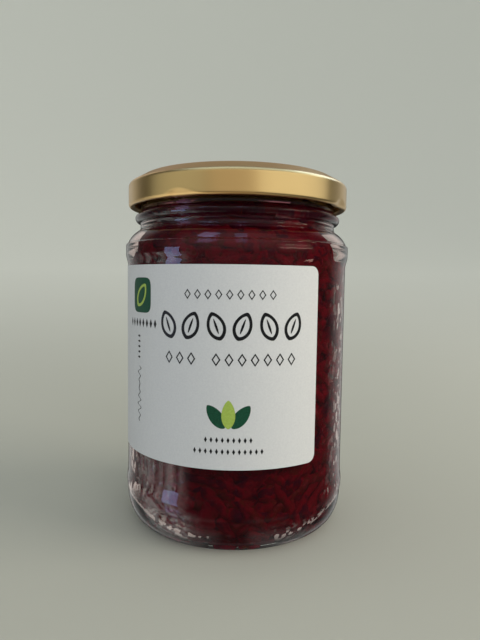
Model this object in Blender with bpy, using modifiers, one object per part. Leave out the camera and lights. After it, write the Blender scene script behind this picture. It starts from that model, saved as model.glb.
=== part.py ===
# Shut glass jar of shredded red cabbage: a turned glass jar, a twist-off tinplate lid,
# a wrapped paper label, and the cabbage as one heap of fused shreds.
# Metres, +Z up. The origin is the centre of the ring that the jar stands on.
# Angles round the jar are measured from the front, -Y, towards the right, +X.

import math
import random

import bmesh
import bpy
from mathutils import Matrix, Vector

# Glass jar, outer side
TURN_STEPS = 56
GLASS_WALL = 0.0024
WELD = 0.000002                  # points closer than this are one point
PANEL_RADIUS = 0.0429            # the plain band that carries the label
BUMPER_RADIUS = 0.0437           # ring where neighbouring jars touch, below the shoulder
BUMPER_TOP_Z = 0.1073
BUMPER_LOW_Z = 0.1034
BUMPER_FADE_Z = 0.0990
BUMPER_EDGE = 0.0006
BUMPER_EDGE_DEG = 60.0
HEEL_BUMPER_RADIUS = 0.04335
HEEL_BUMPER_Z = (0.0180, 0.0160, 0.0130)
HEEL_RADIAL = 0.00784
HEEL_HEIGHT = 0.01153
STANDING_RING_INNER = 0.0316
PUNT_HEIGHT = 0.0030
SHOULDER_CENTER_Z = 0.1038
SHOULDER_RADIUS = 0.0099
SHOULDER_CENTER_R = 0.0338
WAIST_RADIUS = 0.0382
WAIST_FILLET = 0.0016
SHOULDER_END_DEG = 21.0

# Neck with its bead and four thread ramps
BEAD_RADIUS = 0.04015
BEAD_Z = 0.1173
BEAD_UPPER = 0.0015
BEAD_LOWER = 0.0020
MOUTH_Z = 0.1315
LIP_RADIUS = GLASS_WALL / 2
THREAD_COUNT = 4
THREAD_RADIUS = 0.0010
THREAD_OUT = 0.0004              # how far the middle of a ramp stands out of the neck
THREAD_TOP_Z = 0.1286
THREAD_LOW_Z = 0.1260
THREAD_SPAN_DEG = 68.0
THREAD_PAST_LUG_DEG = 10.0       # the low end of a ramp passes over the lug that it holds
THREAD_DIVE_POWER = 8            # keeps a ramp out of the neck until close to its ends
THREAD_POINTS = 9

# Inside of the glass
FLOOR_Z = 0.0028
FLOOR_RISE = 0.0026
FLOOR_MID_SHARE = 0.75           # of the floor's rise, half way out
CORNER_RADIAL = 0.0058
CORNER_HEIGHT = 0.0090

# Lid
SHEET = 0.00025
LID_STEPS = 56
LID_TOP_Z = 0.1332
SKIRT_RADIUS = 0.0427
LID_BEND_RADIUS = 0.00175          # tight bend from the upright skirt into the slope
LID_SLOPE_DEG = 30.0
LID_SLOPE_LENGTH = 0.0050
LID_CROWN_RADIUS = 0.0030          # eases the slope into the flat ring
LID_RING_INNER = 0.0334
LID_STEP_DEPTH = 0.0009
LID_STEP_WIDTH = 0.0014
CURL_RADIUS = 0.0012
CURL_CENTER_Z = 0.1224
CURL_OUT = 0.0001               # how far the curl stands out of the skirt
CURL_START_DEG = 25.0            # where the curl leaves the skirt
CURL_END_DEG = -235.0
LUG_COUNT = 4
LUG_FIRST_DEG = -28.0
LUG_HALF_DEG = 12.0
LUG_DEPTH = 0.0012
LUG_TOP_Z = 0.1246
LUG_FADE_POWER = 1.5

# Label
LABEL_INNER_RADIUS = 0.04325
LABEL_THICKNESS = 0.0002
LABEL_TOP_Z = 0.0989
LABEL_LOW_Z = 0.0308
LABEL_RIGHT_DEG = 41.0
LABEL_WRAP_DEG = 270.0
LABEL_CORNER = 0.0030
LABEL_CORNER_STEPS = 4
LABEL_STEP_DEG = 6.0

# Cabbage
CABBAGE_SEED = 11
CABBAGE_TOP_Z = 0.1225
CABBAGE_GAP = 0.0004             # clear of the glass
CORE_DEPTH = 0.0021              # core's distance from the glass
CORE_STEPS = 28
SHRED_THICKNESS = 0.0016
SHRED_CLEAR_Z = 0.0030           # a shred also clears the wall this far above and below
SHRED_SINK = 0.0011              # how far a shred's ends dive into the core
SHRED_PIECES = 4
WALL_SHREDS = 59
TOP_SHREDS = 6
WALL_SHRED_Z = (0.0115, 0.1165)
SHRED_WIDTHS = (0.0026, 0.0046)
SHRED_LENGTHS = (0.018, 0.036)
SHRED_TURN = 0.618034            # golden share of a full turn from one shred to the next
SHRED_TURN_SLACK_DEG = 12.0
SHRED_SLOPE_DEG = 55.0
SHRED_END_ROOM = 0.004           # how far a steep shred may pass the shredded band
SHRED_BEND = 9.0                 # sideways curve, per metre
SHRED_TWIST = 0.12
SHRED_RIDE = 0.0003              # some lie a little further from the glass
SHRED_END_SHARE = 0.7            # thickness left at a shred's ends
TOP_SHRED_RISE = 0.0004


def remove_everything():
    for obj in list(bpy.data.objects):
        bpy.data.objects.remove(obj, do_unlink=True)


def make_collection(name):
    collection = bpy.data.collections.new(name)
    bpy.context.scene.collection.children.link(collection)
    return collection


def make_material(name, color, roughness, metallic=0.0, transmission=0.0):
    material = bpy.data.materials.new(name)
    material.use_nodes = True
    shader = material.node_tree.nodes["Principled BSDF"]
    shader.inputs["Base Color"].default_value = (*color, 1.0)
    shader.inputs["Roughness"].default_value = roughness
    shader.inputs["Metallic"].default_value = metallic
    shader.inputs["Transmission Weight"].default_value = transmission
    return material


def link_mesh(name, bm, collection, material=None):
    mesh = bpy.data.meshes.new(name)
    bm.to_mesh(mesh)
    bm.free()
    obj = bpy.data.objects.new(name, mesh)
    collection.objects.link(obj)
    if material:
        mesh.materials.append(material)
    return obj


def evaluated_mesh(obj):
    depsgraph = bpy.context.evaluated_depsgraph_get()
    return bpy.data.meshes.new_from_object(obj.evaluated_get(depsgraph), depsgraph=depsgraph)


def apply_modifiers(obj):
    mesh = evaluated_mesh(obj)
    obj.modifiers.clear()
    old_mesh = obj.data
    obj.data = mesh
    bpy.data.meshes.remove(old_mesh)
    mesh.name = obj.name


def shade_round(obj, sharp_deg):
    obj.data.shade_smooth()
    obj.data.set_sharp_from_angle(angle=math.radians(sharp_deg))


def arc(center_r, center_z, radial, height, start_deg, end_deg, steps):
    points = []
    for step in range(steps + 1):
        angle = math.radians(start_deg + (end_deg - start_deg) * step / steps)
        points.append((center_r + radial * math.cos(angle), center_z + height * math.sin(angle)))
    return points


def fade(start, end, steps):
    # A soft S between two (radius, height) points, both ends upright
    points = []
    for step in range(1, steps + 1):
        share = step / steps
        blend = (1 - math.cos(math.pi * share)) / 2
        points.append((start[0] + (end[0] - start[0]) * blend, start[1] + (end[1] - start[1]) * share))
    return points


def neck_to_shoulder(center_r, center_z, radius, neck_radius, fillet, end_deg, fillet_steps, steps):
    # Hollow fillet out of the upright neck, then the round shoulder, both tangent
    join = math.acos((neck_radius + fillet - center_r) / (radius + fillet))
    fillet_z = center_z + (radius + fillet) * math.sin(join)
    join_deg = math.degrees(join)
    hollow = arc(neck_radius + fillet, fillet_z, fillet, fillet, 180.0, 180.0 + join_deg, fillet_steps)
    crown = arc(center_r, center_z, radius, radius, join_deg, end_deg, steps)
    return hollow + crown[1:]


def turned(name, profile, steps, collection):
    # The profile lies at +X and runs down its outer side
    bm = bmesh.new()
    verts = [bm.verts.new((radius, 0.0, height)) for radius, height in profile]
    for first, second in zip(verts, verts[1:]):
        bm.edges.new((first, second))
    obj = link_mesh(name, bm, collection)
    screw = obj.modifiers.new("turn", "SCREW")
    screw.axis = "Z"
    screw.steps = steps
    screw.render_steps = steps
    screw.use_merge_vertices = True
    screw.merge_threshold = WELD
    return obj


def round_jar(radius, angle_deg, height):
    angle = math.radians(angle_deg)
    return Vector((radius * math.sin(angle), -radius * math.cos(angle), height))


def glass_outer_profile():
    points = arc(WAIST_RADIUS - LIP_RADIUS, MOUTH_Z - LIP_RADIUS, LIP_RADIUS, LIP_RADIUS, 90.0, 0.0, 2)
    points += arc(WAIST_RADIUS, BEAD_Z, BEAD_RADIUS - WAIST_RADIUS, BEAD_UPPER, 90.0, 0.0, 2)
    points += arc(WAIST_RADIUS, BEAD_Z, BEAD_RADIUS - WAIST_RADIUS, BEAD_LOWER, 0.0, -90.0, 2)[1:]
    points += neck_to_shoulder(SHOULDER_CENTER_R, SHOULDER_CENTER_Z, SHOULDER_RADIUS,
                               WAIST_RADIUS, WAIST_FILLET, SHOULDER_END_DEG, 2, 3)
    points += arc(BUMPER_RADIUS - BUMPER_EDGE, BUMPER_TOP_Z - BUMPER_EDGE, BUMPER_EDGE, BUMPER_EDGE,
                  BUMPER_EDGE_DEG, 0.0, 1)
    points.append((BUMPER_RADIUS, BUMPER_LOW_Z))
    points += fade((BUMPER_RADIUS, BUMPER_LOW_Z), (PANEL_RADIUS, BUMPER_FADE_Z), 3)
    points.append((PANEL_RADIUS, HEEL_BUMPER_Z[0]))
    points += [(HEEL_BUMPER_RADIUS, height) for height in HEEL_BUMPER_Z[1:]]
    points += arc(PANEL_RADIUS - HEEL_RADIAL, HEEL_HEIGHT, HEEL_RADIAL, HEEL_HEIGHT, 0.0, -90.0, 4)
    points += arc(0.0, 0.0, STANDING_RING_INNER, PUNT_HEIGHT, 0.0, 90.0, 3)
    return points


def glass_inner_profile():
    # From the middle of the floor out, then up the wall to the lip
    inner_radius = PANEL_RADIUS - GLASS_WALL
    corner_r = inner_radius - CORNER_RADIAL
    points = [(0.0, FLOOR_Z + FLOOR_RISE), (corner_r / 2, FLOOR_Z + FLOOR_RISE * FLOOR_MID_SHARE)]
    points += arc(corner_r, FLOOR_Z + CORNER_HEIGHT, CORNER_RADIAL, CORNER_HEIGHT, -90.0, 0.0, 3)
    shoulder_radius = SHOULDER_RADIUS - GLASS_WALL - (BUMPER_RADIUS - PANEL_RADIUS) / 2
    shoulder = neck_to_shoulder(inner_radius - shoulder_radius, SHOULDER_CENTER_Z, shoulder_radius,
                                WAIST_RADIUS - GLASS_WALL, WAIST_FILLET + GLASS_WALL, 0.0, 1, 2)
    points += shoulder[::-1]
    points += arc(WAIST_RADIUS - LIP_RADIUS, MOUTH_Z - LIP_RADIUS, LIP_RADIUS, LIP_RADIUS,
                  180.0, 90.0, 2)[:-1]
    return points


def thread_ramp(start_deg, collection):
    # One right-hand ramp of round glass, which dives back into the neck at both ends
    curve = bpy.data.curves.new("thread", "CURVE")
    curve.dimensions = "3D"
    curve.bevel_depth = THREAD_RADIUS
    curve.bevel_resolution = 1
    curve.use_fill_caps = True
    spline = curve.splines.new("POLY")
    spline.points.add(THREAD_POINTS - 1)
    for index, point in enumerate(spline.points):
        share = index / (THREAD_POINTS - 1)
        out = THREAD_OUT - 2 * THREAD_RADIUS * (2 * share - 1) ** THREAD_DIVE_POWER
        height = THREAD_LOW_Z + (THREAD_TOP_Z - THREAD_LOW_Z) * share
        place = round_jar(WAIST_RADIUS + out, start_deg + THREAD_SPAN_DEG * share, height)
        point.co = (*place, 1.0)
    obj = bpy.data.objects.new("thread_curve", curve)
    collection.objects.link(obj)
    mesh = evaluated_mesh(obj)
    bpy.data.objects.remove(obj, do_unlink=True)
    bm = bmesh.new()
    bm.from_mesh(mesh)
    bmesh.ops.remove_doubles(bm, verts=bm.verts, dist=WELD)
    return link_mesh("thread", bm, collection)


def fuse(obj, extras):
    # One union with a whole collection, applied, whose objects are then removed
    union = obj.modifiers.new("fuse", "BOOLEAN")
    union.operation = "UNION"
    union.operand_type = "COLLECTION"
    union.collection = extras
    union.solver = "EXACT"
    apply_modifiers(obj)
    for extra in list(extras.objects):
        bpy.data.objects.remove(extra, do_unlink=True)
    bpy.data.collections.remove(extras)


def keep_outer_body(obj):
    # Fills the hollows that fusing sealed, and drops loose scraps: one closed body is left
    bm = bmesh.new()
    bm.from_mesh(obj.data)
    bmesh.ops.remove_doubles(bm, verts=bm.verts, dist=WELD)
    bmesh.ops.dissolve_degenerate(bm, edges=bm.edges, dist=WELD)
    unseen = set(bm.faces)
    bodies = []
    while unseen:
        reached = [unseen.pop()]
        for face in reached:
            for edge in face.edges:
                for neighbour in edge.link_faces:
                    if neighbour in unseen:
                        unseen.remove(neighbour)
                        reached.append(neighbour)
        bodies.append(reached)
    bodies.sort(key=len)
    for scrap in bodies[:-1]:
        bmesh.ops.delete(bm, geom=scrap, context="FACES")
    bmesh.ops.triangulate(bm, faces=bm.faces)
    bm.to_mesh(obj.data)
    bm.free()


def make_glass(collection):
    profile = glass_inner_profile() + glass_outer_profile()
    glass = turned("glass_jar", profile, TURN_STEPS, collection)
    apply_modifiers(glass)
    threads = make_collection("threads")
    for index in range(THREAD_COUNT):
        thread_ramp(LUG_FIRST_DEG + 360.0 / THREAD_COUNT * index - THREAD_PAST_LUG_DEG, threads)
    fuse(glass, threads)
    keep_outer_body(glass)
    shade_round(glass, 40.0)
    glass.data.materials.clear()
    glass.data.materials.append(make_material("clear_glass", (0.90, 0.93, 0.91), 0.03, 0.0, 1.0))
    return glass


def lid_shoulder(inset, bend_steps, crown_steps):
    # From the flat ring down the crown, the slope and the bend to the upright skirt
    slope = math.radians(LID_SLOPE_DEG)
    crown_z = LID_TOP_Z - LID_CROWN_RADIUS
    low_crown = LID_TOP_Z - LID_CROWN_RADIUS * (1 - math.cos(slope))
    bend_z = low_crown - LID_SLOPE_LENGTH * math.sin(slope) - LID_BEND_RADIUS * math.cos(slope)
    bend_r = SKIRT_RADIUS - LID_BEND_RADIUS
    crown_r = (bend_r + (LID_BEND_RADIUS - LID_CROWN_RADIUS) * math.sin(slope)
               - LID_SLOPE_LENGTH * math.cos(slope))
    crown, bend = LID_CROWN_RADIUS - inset, LID_BEND_RADIUS - inset
    return (arc(crown_r, crown_z, crown, crown, 90.0, 90.0 - LID_SLOPE_DEG, crown_steps)
            + arc(bend_r, bend_z, bend, bend, 90.0 - LID_SLOPE_DEG, 0.0, bend_steps))


def lid_profile():
    # Under side from the middle out and down to the curl's cut edge, then back up the outer side
    curl_r = SKIRT_RADIUS + CURL_OUT - CURL_RADIUS
    panel_r = LID_RING_INNER - LID_STEP_WIDTH
    panel_z = LID_TOP_Z - LID_STEP_DEPTH
    under = [(0.0, panel_z - SHEET), (panel_r - SHEET, panel_z - SHEET)]
    under += [(LID_RING_INNER - SHEET, LID_TOP_Z - SHEET)]
    under += lid_shoulder(SHEET, 1, 1)
    under += arc(curl_r, CURL_CENTER_Z, CURL_RADIUS - SHEET, CURL_RADIUS - SHEET, CURL_START_DEG,
                 CURL_END_DEG, 4)
    outer = arc(curl_r, CURL_CENTER_Z, CURL_RADIUS, CURL_RADIUS, CURL_END_DEG, CURL_START_DEG, 5)
    outer += lid_shoulder(0.0, 2, 1)[::-1]
    outer += [(LID_RING_INNER, LID_TOP_Z), (panel_r, panel_z), (0.0, panel_z)]
    return (under + outer)[::-1]


def press_lugs(obj):
    # Presses the curl inwards at each lug, fading out to both sides and up the skirt
    for vert in obj.data.vertices:
        x, y, z = vert.co
        if z > LUG_TOP_Z:
            continue
        angle = math.degrees(math.atan2(x, -y))
        for index in range(LUG_COUNT):
            away = angle - LUG_FIRST_DEG - 360.0 / LUG_COUNT * index
            away = abs((away + 180.0) % 360.0 - 180.0)
            if away < LUG_HALF_DEG:
                push = LUG_DEPTH * math.cos(math.pi / 2 * away / LUG_HALF_DEG) ** LUG_FADE_POWER
                push *= min(1.0, (LUG_TOP_Z - z) / CURL_RADIUS)
                radius = math.hypot(x, y)
                vert.co.x *= (radius - push) / radius
                vert.co.y *= (radius - push) / radius


def make_lid(collection):
    lid = turned("lid", lid_profile(), LID_STEPS, collection)
    apply_modifiers(lid)
    press_lugs(lid)
    shade_round(lid, 35.0)
    lid.data.materials.append(make_material("gold_lacquer_tinplate", (0.60, 0.42, 0.18), 0.28, 1.0))
    return lid


def label_columns():
    # Distances along the label where its grid has a line: close together at the rounded corners
    length = math.radians(LABEL_WRAP_DEG) * LABEL_INNER_RADIUS
    corner = [LABEL_CORNER * (1 - math.cos(math.pi / 2 * step / LABEL_CORNER_STEPS))
              for step in range(LABEL_CORNER_STEPS)]
    plain = length - 2 * LABEL_CORNER
    count = round(LABEL_WRAP_DEG / LABEL_STEP_DEG)
    middle = [LABEL_CORNER + plain * step / count for step in range(count + 1)]
    return corner + middle + [length - place for place in reversed(corner)]


def make_label(collection):
    columns = label_columns()
    length = columns[-1]
    bm = bmesh.new()
    bmesh.ops.create_grid(bm, x_segments=len(columns) - 1, y_segments=1, size=0.5)
    for vert in bm.verts:
        along = columns[round((vert.co.x + 0.5) * (len(columns) - 1))]
        inside = min(along, length - along, LABEL_CORNER)
        drop = LABEL_CORNER - math.sqrt(LABEL_CORNER ** 2 - (LABEL_CORNER - inside) ** 2)
        height = LABEL_TOP_Z - drop if vert.co.y > 0 else LABEL_LOW_Z + drop
        angle_deg = LABEL_RIGHT_DEG - math.degrees(along / LABEL_INNER_RADIUS)
        vert.co = round_jar(LABEL_INNER_RADIUS, angle_deg, height)
    bm.normal_update()
    outwards = sum(face.normal.dot(face.calc_center_median()) for face in bm.faces)
    if outwards < 0:
        bmesh.ops.reverse_faces(bm, faces=bm.faces)
    label = link_mesh("label", bm, collection, make_material("white_paper", (0.55, 0.56, 0.57), 0.6))
    wall = label.modifiers.new("paper", "SOLIDIFY")
    wall.thickness = LABEL_THICKNESS
    wall.offset = 1.0
    apply_modifiers(label)
    shade_round(label, 40.0)
    return label


def inner_glass_radius(height):
    # Reads the inner wall's radius from its own profile
    wall = glass_inner_profile()[1:]
    for (low_r, low_z), (high_r, high_z) in zip(wall, wall[1:]):
        if low_z <= height <= high_z and high_z > low_z:
            return low_r + (high_r - low_r) * (height - low_z) / (high_z - low_z)
    return wall[-1][0]


def cabbage_core(collection):
    # The wall's own shape, set in by the core's depth, between the floor and the level
    floor = FLOOR_Z + FLOOR_RISE + CORE_DEPTH
    rim = inner_glass_radius(CABBAGE_TOP_Z) - CORE_DEPTH
    profile = [(0.0, CABBAGE_TOP_Z), (rim - CORE_DEPTH / 2, CABBAGE_TOP_Z)]
    profile.append((rim, CABBAGE_TOP_Z - CORE_DEPTH))
    for radius, height in reversed(glass_inner_profile()):
        if floor < height < CABBAGE_TOP_Z - 2 * CORE_DEPTH:
            profile.append((radius - CORE_DEPTH, height))
    profile += [(inner_glass_radius(floor) - 2 * CORE_DEPTH, floor), (0.0, floor)]
    core = turned("red_cabbage", profile, CORE_STEPS, collection)
    apply_modifiers(core)
    return core


def shred_wall_radius(height):
    near = (height - SHRED_CLEAR_Z, height, height + SHRED_CLEAR_Z)
    return min(inner_glass_radius(level) for level in near)


def shred(name, length, width, place, collection):
    # A flat bar cut into short lengths, then laid along the wall or the top by the function place
    bm = bmesh.new()
    size = Matrix.Diagonal((length, SHRED_THICKNESS, width, 1.0))
    bmesh.ops.create_cube(bm, size=1.0, matrix=size)
    for cut in range(1, SHRED_PIECES):
        where = Vector((length * (cut / SHRED_PIECES - 0.5), 0.0, 0.0))
        bmesh.ops.bisect_plane(bm, geom=bm.verts[:] + bm.edges[:] + bm.faces[:], plane_co=where,
                               plane_no=(1.0, 0.0, 0.0))
    for vert in bm.verts:
        vert.co = place(*vert.co)
    bmesh.ops.recalc_face_normals(bm, faces=bm.faces)
    bmesh.ops.triangulate(bm, faces=bm.faces)
    return link_mesh(name, bm, collection)


def taper(share):
    # A shred's thickness falls off evenly from its middle to its ends
    return 1 - (1 - SHRED_END_SHARE) * abs(share)


def wall_shreds(rng, collection):
    low, high = WALL_SHRED_Z
    for index in range(WALL_SHREDS):
        length = rng.uniform(*SHRED_LENGTHS)
        width = rng.uniform(*SHRED_WIDTHS)
        # Even steps by the golden ratio spread the shreds over the whole wall
        height = low + (high - low) * (index + 0.5) / WALL_SHREDS
        around = index * SHRED_TURN * 360.0
        around += rng.uniform(-SHRED_TURN_SLACK_DEG, SHRED_TURN_SLACK_DEG)
        slope = math.radians(rng.uniform(-SHRED_SLOPE_DEG, SHRED_SLOPE_DEG))
        room = min(height - low, high - height) + SHRED_END_ROOM
        slope = math.copysign(min(abs(slope), math.asin(min(1.0, 2 * room / length))), slope)
        bend = rng.uniform(-SHRED_BEND, SHRED_BEND)
        twist = rng.uniform(-SHRED_TWIST, SHRED_TWIST)
        ride = rng.uniform(0.0, SHRED_RIDE)

        def place(along, depth, across):
            share = 2 * along / length
            across += bend * along * along
            up = height + along * math.sin(slope) + across * math.cos(slope)
            side = along * math.cos(slope) - across * math.sin(slope)
            inset = CABBAGE_GAP + ride + SHRED_THICKNESS / 2 - depth * taper(share)
            inset += SHRED_SINK * share ** 4 + twist * across * share + abs(twist) * width
            radius = shred_wall_radius(up) - inset
            return round_jar(radius, around + math.degrees(side / (PANEL_RADIUS - GLASS_WALL)), up)

        shred("wall_shred", length, width, place, collection)


def top_shreds(rng, collection):
    spread = inner_glass_radius(CABBAGE_TOP_Z) - SHRED_LENGTHS[1] / 2 - CORE_DEPTH
    for index in range(TOP_SHREDS):
        length = rng.uniform(*SHRED_LENGTHS)
        width = rng.uniform(*SHRED_WIDTHS)
        reach = spread * math.sqrt((index + 0.5) / TOP_SHREDS)
        middle = round_jar(reach, index * SHRED_TURN * 360.0, CABBAGE_TOP_Z + TOP_SHRED_RISE)
        turn = rng.uniform(0.0, math.pi)
        bend = rng.uniform(-SHRED_BEND, SHRED_BEND)

        def place(along, depth, across):
            share = 2 * along / length
            across += bend * along * along
            x = along * math.cos(turn) - across * math.sin(turn)
            y = along * math.sin(turn) + across * math.cos(turn)
            return middle + Vector((x, y, depth * taper(share) - SHRED_SINK * share ** 4))

        shred("top_shred", length, width, place, collection)


def make_cabbage(collection):
    rng = random.Random(CABBAGE_SEED)
    cabbage = cabbage_core(collection)
    shreds = make_collection("shreds")
    wall_shreds(rng, shreds)
    top_shreds(rng, shreds)
    fuse(cabbage, shreds)
    keep_outer_body(cabbage)
    shade_round(cabbage, 30.0)
    cabbage.data.materials.clear()
    cabbage.data.materials.append(make_material("red_cabbage", (0.10, 0.004, 0.012), 0.35))
    return cabbage


def main():
    remove_everything()
    jar = make_collection("jar_of_red_cabbage")
    make_glass(jar)
    make_lid(jar)
    make_label(jar)
    make_cabbage(jar)


main()
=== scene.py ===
import math
import random
import bpy
from mathutils import Euler, Matrix, Vector, noise


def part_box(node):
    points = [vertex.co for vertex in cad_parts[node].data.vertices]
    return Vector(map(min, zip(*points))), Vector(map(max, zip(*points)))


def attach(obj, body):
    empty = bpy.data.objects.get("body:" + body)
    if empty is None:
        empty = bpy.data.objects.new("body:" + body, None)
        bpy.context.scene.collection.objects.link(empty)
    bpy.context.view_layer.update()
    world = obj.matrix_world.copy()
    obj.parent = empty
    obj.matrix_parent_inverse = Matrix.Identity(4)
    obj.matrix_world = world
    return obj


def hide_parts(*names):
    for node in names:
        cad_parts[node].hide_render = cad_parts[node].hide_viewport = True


# Jar of red cabbage: blown glass, gold twist-off lid, printed paper label, shreds in their brine

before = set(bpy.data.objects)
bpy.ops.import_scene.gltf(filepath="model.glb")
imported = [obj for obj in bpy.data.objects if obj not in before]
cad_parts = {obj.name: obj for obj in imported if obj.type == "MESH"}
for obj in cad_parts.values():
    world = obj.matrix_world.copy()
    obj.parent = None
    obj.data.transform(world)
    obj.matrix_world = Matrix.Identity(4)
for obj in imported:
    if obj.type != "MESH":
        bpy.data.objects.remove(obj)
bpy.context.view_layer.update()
print("frame loaded:", ", ".join(sorted(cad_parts)))

mm = 0.001
weld = 0.002 * mm
glassLow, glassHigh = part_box("glass_jar")
lidLow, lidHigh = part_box("lid")
labelLow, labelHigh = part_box("label")


# Working helpers

def deselectAll():
    if bpy.context.object and bpy.context.object.mode != "OBJECT":
        bpy.ops.object.mode_set(mode="OBJECT")
    bpy.ops.object.select_all(action="DESELECT")


def nameObject(name):
    piece = bpy.context.object
    piece.name = name
    piece.data.name = name
    return piece


def pickOnly(piece):
    deselectAll()
    piece.select_set(True)
    bpy.context.view_layer.objects.active = piece


def selectPoints(piece, test):
    # leaves edit mode open with only the points that pass the test selected
    pickOnly(piece)
    bpy.ops.object.mode_set(mode="EDIT")
    bpy.ops.mesh.select_mode(type="VERT")
    bpy.ops.mesh.select_all(action="DESELECT")
    bpy.ops.object.mode_set(mode="OBJECT")
    for vertex in piece.data.vertices:
        vertex.select = bool(test(vertex.co))
    bpy.ops.object.mode_set(mode="EDIT")


def joinPieces(pieces, name):
    deselectAll()
    for piece in pieces:
        piece.select_set(True)
    bpy.context.view_layer.objects.active = pieces[0]
    if len(pieces) > 1:
        bpy.ops.object.join()
    return nameObject(name)


def applyModifiers(piece):
    pickOnly(piece)
    for modifier in list(piece.modifiers):
        bpy.ops.object.modifier_apply(modifier=modifier.name)


def arc(centerR, centerZ, radial, height, startDeg, endDeg, steps):
    points = []
    for step in range(steps + 1):
        angle = math.radians(startDeg + (endDeg - startDeg) * step / steps)
        points.append((centerR + radial * math.cos(angle), centerZ + height * math.sin(angle)))
    return points


def straight(start, end, steps):
    # points between two corners of an outline, without the corners
    return [(start[0] + (end[0] - start[0]) * step / steps, start[1] + (end[1] - start[1]) * step / steps)
            for step in range(1, steps)]


def turnOutline(name, outline, steps):
    # draws the outline point by point at +X, then spins it round the jar's axis
    deselectAll()
    bpy.ops.mesh.primitive_plane_add(size=mm, location=(0, 0, 0))
    piece = nameObject(name)
    bpy.ops.object.mode_set(mode="EDIT")
    bpy.ops.mesh.select_all(action="SELECT")
    bpy.ops.mesh.merge(type="CENTER")
    bpy.ops.transform.translate(value=(outline[0][0], 0, outline[0][1]))
    for (oldR, oldZ), (newR, newZ) in zip(outline, outline[1:]):
        bpy.ops.mesh.extrude_region_move(TRANSFORM_OT_translate={"value": (newR - oldR, 0, newZ - oldZ)})
    bpy.ops.mesh.select_all(action="SELECT")
    bpy.ops.mesh.spin(steps=steps, angle=2 * math.pi, center=(0, 0, 0), axis=(0, 0, 1))
    bpy.ops.mesh.select_all(action="SELECT")
    bpy.ops.mesh.remove_doubles(threshold=weld)
    bpy.ops.mesh.normals_make_consistent(inside=False)
    bpy.ops.object.mode_set(mode="OBJECT")
    bpy.ops.object.shade_smooth()
    return piece


def roundJar(radius, angle, height):
    # a place on the jar: the angle runs from the front, -Y, towards +X
    return Vector((radius * math.sin(angle), -radius * math.cos(angle), height))


def smoothStep(low, high, value):
    share = min(1, max(0, (value - low) / (high - low)))
    return share * share * (3 - 2 * share)


# Materials

def linearColour(hexText):
    channels = [int(hexText[at:at + 2], 16) / 255 for at in (1, 3, 5)]
    return tuple(c / 12.92 if c <= 0.04045 else ((c + 0.055) / 1.055) ** 2.4 for c in channels) + (1.0,)


def linkTo(material, node, links):
    for key, source in links.items():
        material.node_tree.links.new(source, node.inputs[key])


def addNode(material, kind, settings=None, links=None, stops=()):
    # one node with its settings, the sockets that feed it and, on a colour ramp, its stops
    node = material.node_tree.nodes.new(kind)
    for key, value in (settings or {}).items():
        if isinstance(key, int) or key in node.inputs:
            node.inputs[key].default_value = value
        else:
            setattr(node, key, value)
    linkTo(material, node, links or {})
    for index, (place, colour) in enumerate(stops):
        elements = node.color_ramp.elements
        if index == len(elements):
            elements.new(place)
        elements[index].position = place
        elements[index].color = linearColour(colour)
    return node


def newMaterial(name, settings):
    material = bpy.data.materials.new(name)
    material.use_nodes = True
    shader = material.node_tree.nodes["Principled BSDF"]
    for key, value in settings.items():
        shader.inputs[key].default_value = value
    return material, shader


def letLampsThrough(material, shader, colour):
    # lamps light what lies behind clear glass or juice, tinted by its colour
    path = addNode(material, "ShaderNodeLightPath")
    clear = addNode(material, "ShaderNodeBsdfTransparent", {"Color": colour})
    both = addNode(material, "ShaderNodeMixShader", None, {
        0: path.outputs["Is Shadow Ray"], 1: shader.outputs[0], 2: clear.outputs[0]})
    linkTo(material, material.node_tree.nodes["Material Output"], {"Surface": both.outputs[0]})


def patternScale(size):
    # a texture's scale for features of this size on Object coordinates, which are in metres
    return 1 / size


def blownGlassMaterial():
    # soda-lime container glass, blown in an iron mould: clear with a trace of green, faintly wavy
    material, shader = newMaterial("blownSodaLimeGlass", {
        "Base Color": linearColour("#F3F8F5"), "Roughness": 0.0, "IOR": 1.52, "Transmission Weight": 1.0})
    place = addNode(material, "ShaderNodeTexCoord")
    waves = addNode(material, "ShaderNodeTexNoise", {"Scale": patternScale(11 * mm), "Detail": 1.0},
                    {"Vector": place.outputs["Object"]})
    bump = addNode(material, "ShaderNodeBump", {"Strength": 0.14, "Distance": 0.1 * mm},
                   {"Height": waves.outputs["Fac"]})
    linkTo(material, shader, {"Normal": bump.outputs[0]})
    letLampsThrough(material, shader, linearColour("#F0F5F2"))
    return material


def juiceMaterial():
    # the cabbage's own brine, pressed out by salt: clear and deep wine red
    material, shader = newMaterial("cabbageBrine", {
        "Base Color": linearColour("#C46E84"), "Roughness": 0.02, "IOR": 1.34, "Transmission Weight": 1.0})
    letLampsThrough(material, shader, linearColour("#D890A2"))
    return material


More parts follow.
